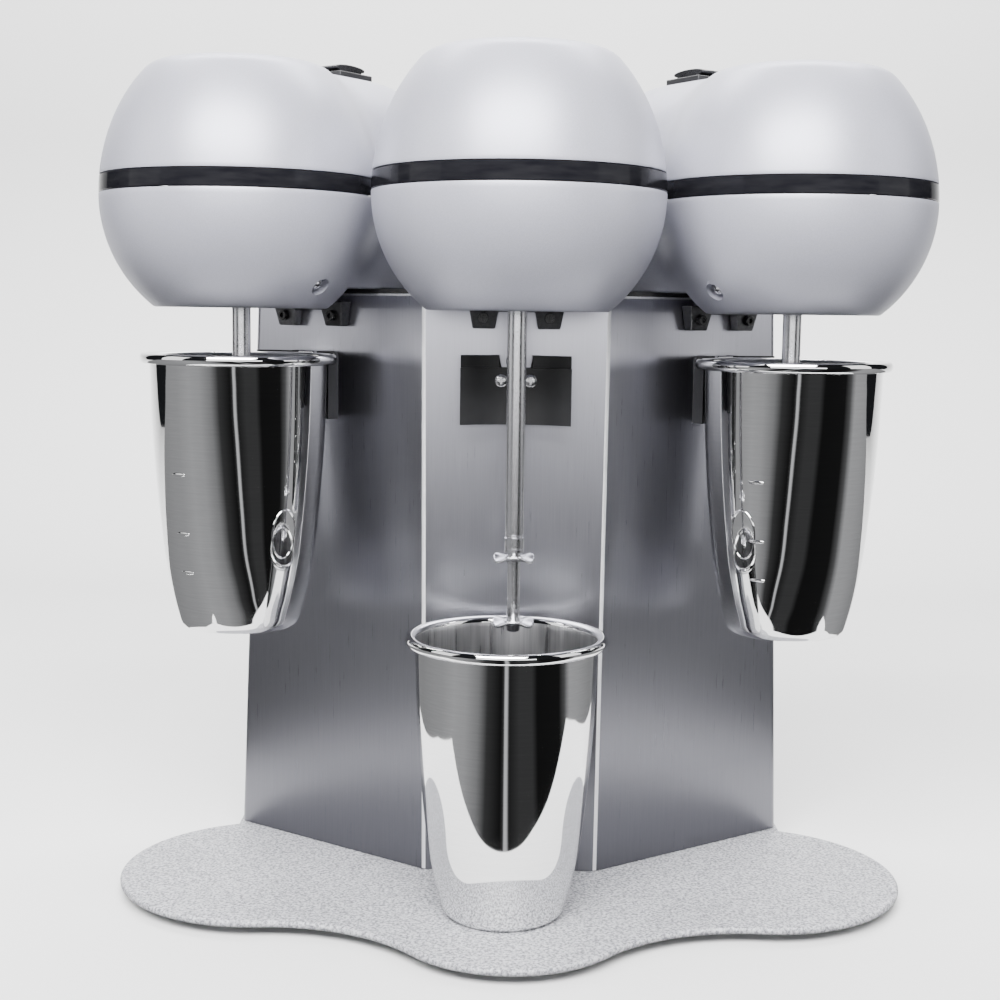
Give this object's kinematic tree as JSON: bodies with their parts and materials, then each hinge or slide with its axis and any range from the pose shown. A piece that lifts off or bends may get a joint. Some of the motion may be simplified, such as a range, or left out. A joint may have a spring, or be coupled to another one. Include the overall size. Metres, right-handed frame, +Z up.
{
  "type": "drink mixer",
  "caption": "Bar drink mixer: ball-shaped motor heads with spindles on a folded steel column, cup rests, polished mixing cups and a lobed base plate.",
  "frame": {"origin": "on the floor, at the middle of the outline seen from above", "axes": "+Z up; the heads and cups face -Y; +X is to the right seen from the front"},
  "size_m": [0.4654, 0.264, 0.484],
  "materials": {
    "powder_coat": "light grey speckled powder coat",
    "foot_rubber": "matte black",
    "gasket_rubber": "matte black",
    "column_steel": "brushed stainless",
    "black_nylon": "moulded black nylon",
    "head_casing": "satin silver-grey",
    "trim": "glossy black",
    "switch_key": "semi-gloss black",
    "motor_core": "varnished laminations",
    "bearing_alloy": "cast",
    "spindle_steel": "ground stainless",
    "polished_cup": "mirror-polished stainless"
  },
  "bodies": {
    "stand": {"base_plate": "powder_coat", "foot_front": "foot_rubber", "foot_left": "foot_rubber", "foot_right": "foot_rubber", "foot_rear_left": "foot_rubber", "foot_rear_right": "foot_rubber", "column_shell": "column_steel", "column_top_plate": "column_steel", "column_gasket": "gasket_rubber", "rear_cover": "column_steel", "cord_gland": "black_nylon", "left_lower_shell": "head_casing", "left_trim_band": "trim", "left_upper_shell": "head_casing", "left_head_bracket": "black_nylon", "left_cup_rest": "black_nylon", "left_switch_body": "black_nylon", "left_motor_stator": "motor_core", "left_lower_bearing_bridge": "bearing_alloy", "left_upper_bearing_bridge": "bearing_alloy", "centre_lower_shell": "head_casing", "centre_trim_band": "trim", "centre_upper_shell": "head_casing", "centre_head_bracket": "black_nylon", "centre_cup_rest": "black_nylon", "centre_switch_body": "black_nylon", "centre_motor_stator": "motor_core", "centre_lower_bearing_bridge": "bearing_alloy", "centre_upper_bearing_bridge": "bearing_alloy", "right_lower_shell": "head_casing", "right_trim_band": "trim", "right_upper_shell": "head_casing", "right_head_bracket": "black_nylon", "right_cup_rest": "black_nylon", "right_switch_body": "black_nylon", "right_motor_stator": "motor_core", "right_lower_bearing_bridge": "bearing_alloy", "right_upper_bearing_bridge": "bearing_alloy"},
    "left_drive": {"left_spindle": "spindle_steel", "left_motor_rotor": "motor_core", "left_upper_beater": "spindle_steel", "left_lower_beater": "spindle_steel"},
    "left_switch_key": {"left_switch_rocker": "switch_key"},
    "left_lever": {"left_cup_lever": "spindle_steel"},
    "left_cup": {"left_mixing_cup": "polished_cup"},
    "centre_drive": {"centre_spindle": "spindle_steel", "centre_motor_rotor": "motor_core", "centre_upper_beater": "spindle_steel", "centre_lower_beater": "spindle_steel"},
    "centre_switch_key": {"centre_switch_rocker": "switch_key"},
    "centre_lever": {"centre_cup_lever": "spindle_steel"},
    "centre_cup": {"centre_mixing_cup": "polished_cup"},
    "right_drive": {"right_spindle": "spindle_steel", "right_motor_rotor": "motor_core", "right_upper_beater": "spindle_steel", "right_lower_beater": "spindle_steel"},
    "right_switch_key": {"right_switch_rocker": "switch_key"},
    "right_lever": {"right_cup_lever": "spindle_steel"},
    "right_cup": {"right_mixing_cup": "polished_cup"}
  },
  "joints": [
    {"name": "left_spindle_spin", "type": "hinge", "parent": "stand", "child": "left_drive", "pos_m": [-0.1557, 0.00456, 0.4], "axis": [0, 0, 1], "continuous": true},
    {"name": "left_switch_rock", "type": "hinge", "parent": "stand", "child": "left_switch_key", "pos_m": [-0.10625, 0.07493, 0.4782], "axis": [0.8181, -0.575, 0], "range_deg": [-6, 6]},
    {"name": "left_lever_press", "type": "hinge", "parent": "stand", "child": "left_lever", "pos_m": [-0.12178, 0.05284, 0.3099], "axis": [0.8181, -0.575, 0], "range_deg": [-12, 0], "stiffness_Nm_per_rad": 0.01, "springref_deg": 11.46},
    {"name": "left_cup_lift", "type": "slide", "parent": "stand", "child": "left_cup", "axis": [0, 0, 1], "range_m": [0, 0.007]},
    {"name": "centre_spindle_spin", "type": "hinge", "parent": "stand", "child": "centre_drive", "pos_m": [0, -0.0535, 0.4], "axis": [0, 0, 1], "continuous": true},
    {"name": "centre_switch_rock", "type": "hinge", "parent": "stand", "child": "centre_switch_key", "pos_m": [0, 0.0325, 0.4782], "axis": [1, 0, 0], "range_deg": [-6, 6]},
    {"name": "centre_lever_press", "type": "hinge", "parent": "stand", "child": "centre_lever", "pos_m": [0, 0.0055, 0.3099], "axis": [1, 0, 0], "range_deg": [-28, 0], "stiffness_Nm_per_rad": 0.01, "springref_deg": 11.46},
    {"name": "centre_cup_lift", "type": "slide", "parent": "stand", "child": "centre_cup", "axis": [0, 0, 1], "range_m": [0, 0.1]},
    {"name": "right_spindle_spin", "type": "hinge", "parent": "stand", "child": "right_drive", "pos_m": [0.1557, 0.00456, 0.4], "axis": [0, 0, 1], "continuous": true},
    {"name": "right_switch_rock", "type": "hinge", "parent": "stand", "child": "right_switch_key", "pos_m": [0.10625, 0.07493, 0.4782], "axis": [0.8181, 0.575, 0], "range_deg": [-6, 6]},
    {"name": "right_lever_press", "type": "hinge", "parent": "stand", "child": "right_lever", "pos_m": [0.12178, 0.05284, 0.3099], "axis": [0.8181, 0.575, 0], "range_deg": [-12, 0], "stiffness_Nm_per_rad": 0.01, "springref_deg": 11.46},
    {"name": "right_cup_lift", "type": "slide", "parent": "stand", "child": "right_cup", "axis": [0, 0, 1], "range_m": [0, 0.007]}
  ]
}
